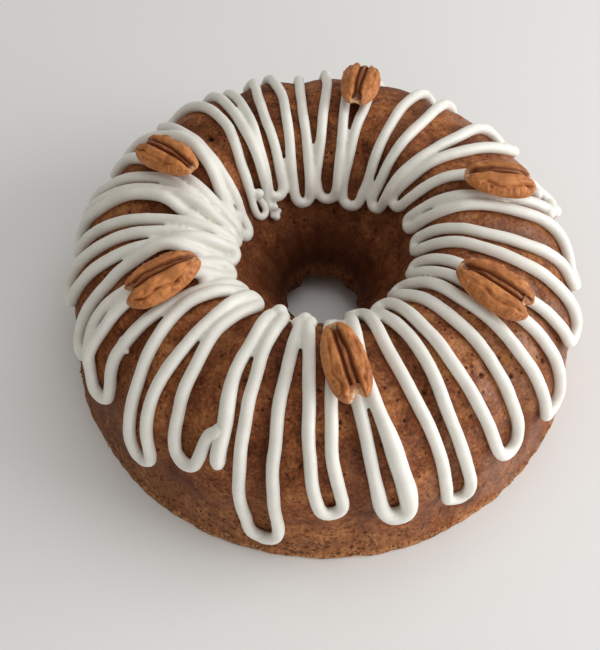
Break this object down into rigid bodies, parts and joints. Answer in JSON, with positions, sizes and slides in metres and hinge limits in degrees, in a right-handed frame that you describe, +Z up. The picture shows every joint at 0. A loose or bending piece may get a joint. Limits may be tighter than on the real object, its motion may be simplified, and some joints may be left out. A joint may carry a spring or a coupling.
{
  "type": "bundt cake",
  "caption": "Ring-shaped fluted cake with a centre hole, a zigzag of piped white icing and pecan halves on top.",
  "frame": {"origin": "centre of the flat underside, on the axis of the centre hole", "axes": "+Z up along the axis of the centre hole; -Y towards the front, where the icing's two runs meet; +X to the right of the front"},
  "size_m": [0.2298, 0.2302, 0.0916],
  "materials": {
    "crust": "baked brown crust, satin",
    "icing": "set white sugar icing, satin",
    "pecan": "dry nut, satin"
  },
  "bodies": {
    "root": {"cake": "crust", "icing": "icing", "pecan_1": "pecan", "pecan_2": "pecan", "pecan_3": "pecan", "pecan_4": "pecan", "pecan_5": "pecan", "pecan_6": "pecan"}
  },
  "joints": []
}
